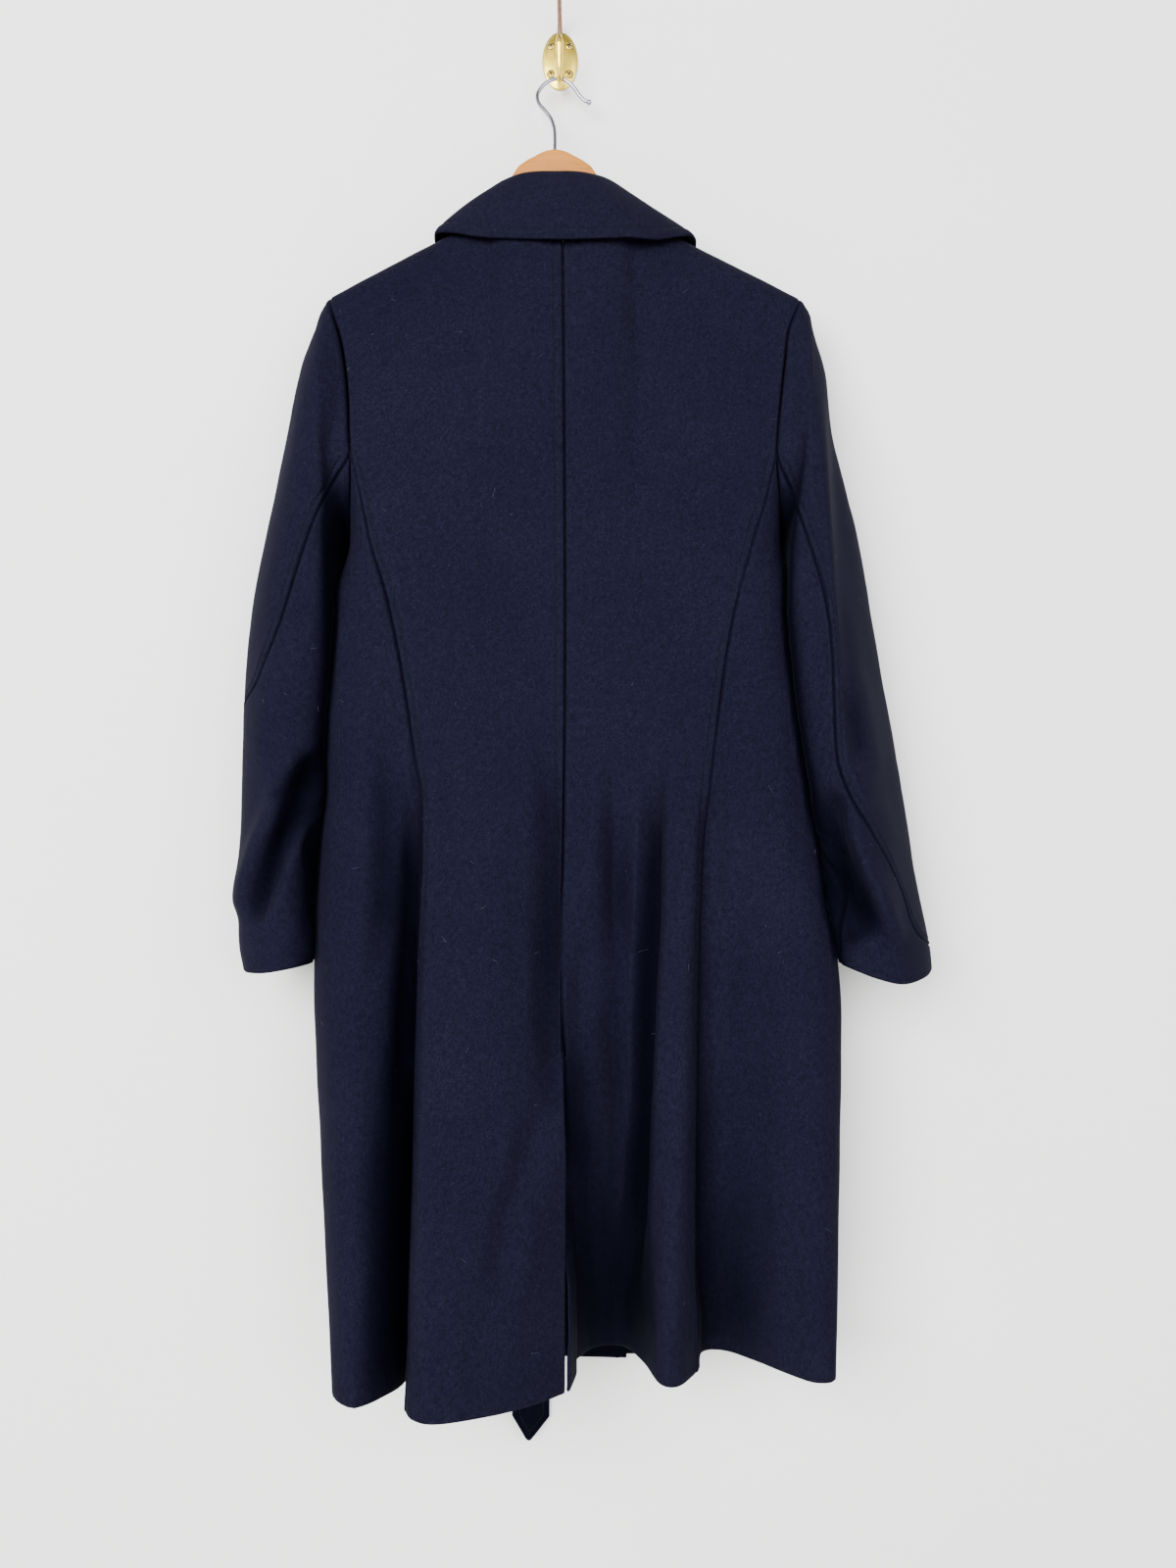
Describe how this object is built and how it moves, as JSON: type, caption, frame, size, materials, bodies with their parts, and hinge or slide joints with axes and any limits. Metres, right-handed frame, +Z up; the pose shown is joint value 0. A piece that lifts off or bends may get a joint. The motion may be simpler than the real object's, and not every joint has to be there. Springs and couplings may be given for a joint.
{
  "type": "trench coat on wall hook",
  "caption": "Tailored knee-length wool coat hung back to front on a wooden hanger from an oval brass wall hook, with princess seams, a centre-back vent and a tie belt.",
  "frame": {"origin": "centre of the wall plate's flat back face, on the wall", "axes": "+Z up, +Y into the wall, the coat's back faces -Y and the wearer's left side is at -X"},
  "size_m": [0.6302, 0.198, 1.3829],
  "materials": {
    "wool": "matt felted wool melton, navy",
    "brass": "polished",
    "beech": "satin lacquer",
    "chrome": "polished"
  },
  "bodies": {
    "root": {"back_left": "wool", "back_right": "wool", "side_back_left": "wool", "side_back_right": "wool", "front_left": "wool", "front_right": "wool", "sleeve_upper_left": "wool", "sleeve_under_left": "wool", "sleeve_upper_right": "wool", "sleeve_under_right": "wool", "collar_fall": "wool", "collar_stand": "wool", "lapel_left": "wool", "lapel_right": "wool", "belt_left": "wool", "belt_right": "wool", "belt_knot": "wool", "belt_end_long": "wool", "belt_end_short": "wool", "hook_casting": "brass", "screw_1": "brass", "screw_2": "brass", "screw_3": "brass", "screw_4": "brass", "hanger_wood": "beech", "hanger_hook": "chrome"}
  },
  "joints": []
}
